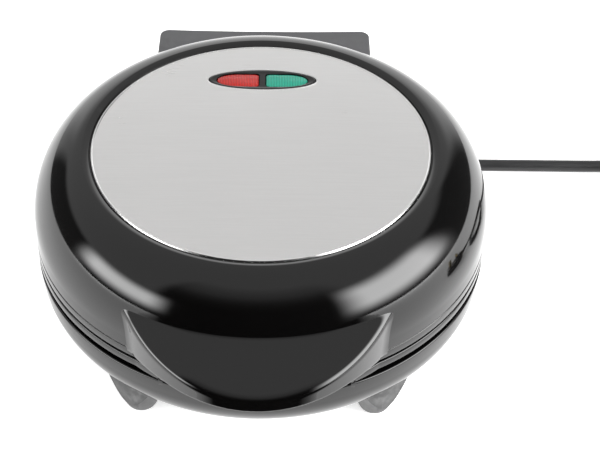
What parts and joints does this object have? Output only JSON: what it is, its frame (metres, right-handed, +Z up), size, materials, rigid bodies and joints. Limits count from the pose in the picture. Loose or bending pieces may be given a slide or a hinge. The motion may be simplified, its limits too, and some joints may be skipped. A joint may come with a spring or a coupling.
{
  "type": "donut maker",
  "caption": "Round hinged electric maker for ring-shaped cakes, with a steel-topped lid, crescent handle, indicator lights and two moulded heating plates.",
  "frame": {"origin": "on the table under the axis of the round body, which is the middle of the appliance without its cord", "axes": "+Z up, +Y towards the hinge at the back, -Y towards the handle, +X to the side where the cord leaves"},
  "size_m": [0.4175, 0.267, 0.0965],
  "materials": {
    "gloss_black": "high gloss",
    "foot_grey": "satin",
    "rubber": "matte",
    "zinc_steel": "zinc plated",
    "non_stick": "dark non-stick coating on cast aluminium",
    "element_steel": "heat-darkened",
    "aluminium": "satin",
    "ceramic": "unglazed",
    "brushed_steel": "brushed satin",
    "matte_grey": "fine matte",
    "red_lens": "translucent, ribbed",
    "green_lens": "translucent, ribbed",
    "lamp_glass": "clear",
    "cord_black": "satin flexible sheath",
    "plug_black": "satin",
    "brass": "polished",
    "wire_sleeve": "woven glass sleeve"
  },
  "bodies": {
    "base": {"base_shell": "gloss_black", "base_rim_ring": "gloss_black", "foot_front_left": "foot_grey", "foot_front_right": "foot_grey", "foot_rear_left": "foot_grey", "foot_rear_right": "foot_grey", "foot_pad_front_left": "rubber", "foot_pad_front_right": "rubber", "foot_pad_rear_left": "rubber", "foot_pad_rear_right": "rubber", "hinge_bracket": "gloss_black", "hinge_pin_left": "zinc_steel", "hinge_pin_right": "zinc_steel", "lower_heating_plate": "non_stick", "lower_heating_element": "element_steel", "lower_heat_shield": "aluminium", "thermostat": "zinc_steel", "terminal_block": "ceramic", "lower_plate_screw_1": "zinc_steel", "lower_plate_screw_2": "zinc_steel", "lower_plate_screw_3": "zinc_steel", "inner_cord_end": "cord_black", "cord_gland": "rubber", "mains_cord": "cord_black", "cord_coil": "cord_black", "cord_tail": "cord_black", "cord_tie": "rubber", "plug_strain_relief": "cord_black", "plug_body": "plug_black", "plug_pin_live": "brass", "plug_pin_neutral": "brass", "plug_pin_earth": "brass", "plug_fuse_cover": "plug_black"},
    "lid": {"lid_shell": "gloss_black", "steel_cover": "brushed_steel", "lid_rim_ring": "gloss_black", "upper_handle": "gloss_black", "hinge_cover": "matte_grey", "indicator_bezel": "gloss_black", "indicator_lens_red": "red_lens", "indicator_lens_green": "green_lens", "lamp_holder": "ceramic", "indicator_lamp_left": "lamp_glass", "indicator_lamp_right": "lamp_glass", "upper_heating_plate": "non_stick", "upper_heating_element": "element_steel", "upper_heat_shield": "aluminium", "thermal_fuse": "aluminium", "upper_plate_screw_1": "zinc_steel", "upper_plate_screw_2": "zinc_steel", "upper_plate_screw_3": "zinc_steel", "handle_screw_left": "zinc_steel", "handle_screw_right": "zinc_steel", "lid_wiring": "wire_sleeve"}
  },
  "joints": [
    {"name": "lid_hinge", "type": "hinge", "parent": "base", "child": "lid", "pos_m": [0, 0.124, 0.051], "axis": [-1, 0, 0], "range_deg": [0, 100]}
  ]
}
